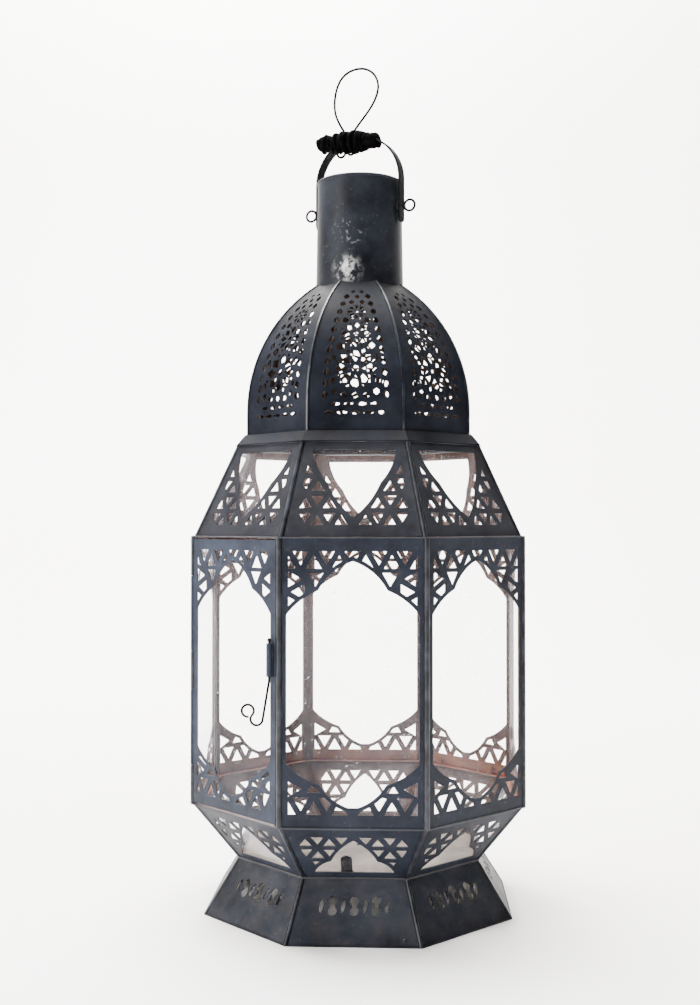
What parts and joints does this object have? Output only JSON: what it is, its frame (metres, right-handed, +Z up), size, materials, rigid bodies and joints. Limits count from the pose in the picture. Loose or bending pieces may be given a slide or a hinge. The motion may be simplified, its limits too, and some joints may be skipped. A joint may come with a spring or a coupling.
{
  "type": "moroccan metal lantern",
  "caption": "Octagonal pierced-iron candle lantern with clear glass panes, hinged glazed door with wire latch, ribbed dome, chimney and a swinging bail handle.",
  "frame": {"origin": "middle of the foot's bottom, on the ground", "axes": "+Z up along the lantern's axis; -Y out of the front face; the door is the face left of the front one, towards -X and -Y"},
  "size_m": [0.2612, 0.2612, 0.6841],
  "materials": {
    "iron_sheet": "blackened sheet, satin",
    "iron_beads": "blackened solder and strip, satin",
    "roof_iron": "blackened sheet, dusty",
    "floor_iron": "bare sheet, stained",
    "clear_glass": "clear, slightly hazy",
    "iron_wire": "blackened wire, satin",
    "bail_iron": "blackened strap, satin",
    "grip_cord": "blackened wire winding, matt"
  },
  "bodies": {
    "lantern": {"foot_rim": "iron_sheet", "base_panels": "iron_sheet", "belt_ring": "iron_sheet", "top_ring": "iron_sheet", "lower_frame_1": "iron_sheet", "lower_frame_2": "iron_sheet", "lower_frame_3": "iron_sheet", "lower_frame_4": "iron_sheet", "lower_frame_5": "iron_sheet", "lower_frame_6": "iron_sheet", "lower_frame_7": "iron_sheet", "lower_frame_8": "iron_sheet", "side_frame_1": "iron_sheet", "side_frame_2": "iron_sheet", "side_frame_3": "iron_sheet", "side_frame_4": "iron_sheet", "side_frame_5": "iron_sheet", "side_frame_6": "iron_sheet", "side_frame_7": "iron_sheet", "shoulder_frame_1": "iron_sheet", "shoulder_frame_2": "iron_sheet", "shoulder_frame_3": "iron_sheet", "shoulder_frame_4": "iron_sheet", "shoulder_frame_5": "iron_sheet", "shoulder_frame_6": "iron_sheet", "shoulder_frame_7": "iron_sheet", "shoulder_frame_8": "iron_sheet", "chimney": "iron_sheet", "glass_clip": "iron_sheet", "glass_tabs": "iron_sheet", "base_ribs": "iron_beads", "lower_ribs": "iron_beads", "shoulder_ribs": "iron_beads", "corner_posts": "iron_beads", "hinge_post": "iron_beads", "dome_seams": "iron_beads", "dome_ring": "roof_iron", "dome_cornice": "roof_iron", "dome_gore_1": "roof_iron", "dome_gore_2": "roof_iron", "dome_gore_3": "roof_iron", "dome_gore_4": "roof_iron", "dome_gore_5": "roof_iron", "dome_gore_6": "roof_iron", "dome_gore_7": "roof_iron", "dome_gore_8": "roof_iron", "floor_plate": "floor_iron", "lower_glass": "clear_glass", "side_glass": "clear_glass", "shoulder_glass": "clear_glass", "hinge_rod": "iron_wire", "bail_eyes": "iron_wire"},
    "door": {"door_frame": "iron_sheet", "door_glass": "clear_glass", "door_glass_tabs": "iron_sheet", "latch_barrel": "iron_sheet"},
    "latch": {"latch_wire": "iron_wire"},
    "bail": {"bail_handle": "bail_iron", "grip_wrap": "grip_cord", "hanging_loop": "iron_wire"}
  },
  "joints": [
    {"name": "door_hinge", "type": "hinge", "parent": "lantern", "child": "door", "pos_m": [-0.1286, -0.05327, 0.192], "axis": [0, 0, -1], "range_deg": [0, 110]},
    {"name": "latch_turn", "type": "hinge", "parent": "door", "child": "latch", "pos_m": [-0.0607, -0.12646, 0.208], "axis": [0, 0, 1], "range_deg": [-45, 135]},
    {"name": "bail_swing", "type": "hinge", "parent": "lantern", "child": "bail", "pos_m": [0, 0, 0.565], "axis": [0.9239, -0.3827, 0], "range_deg": [-110, 110]}
  ]
}
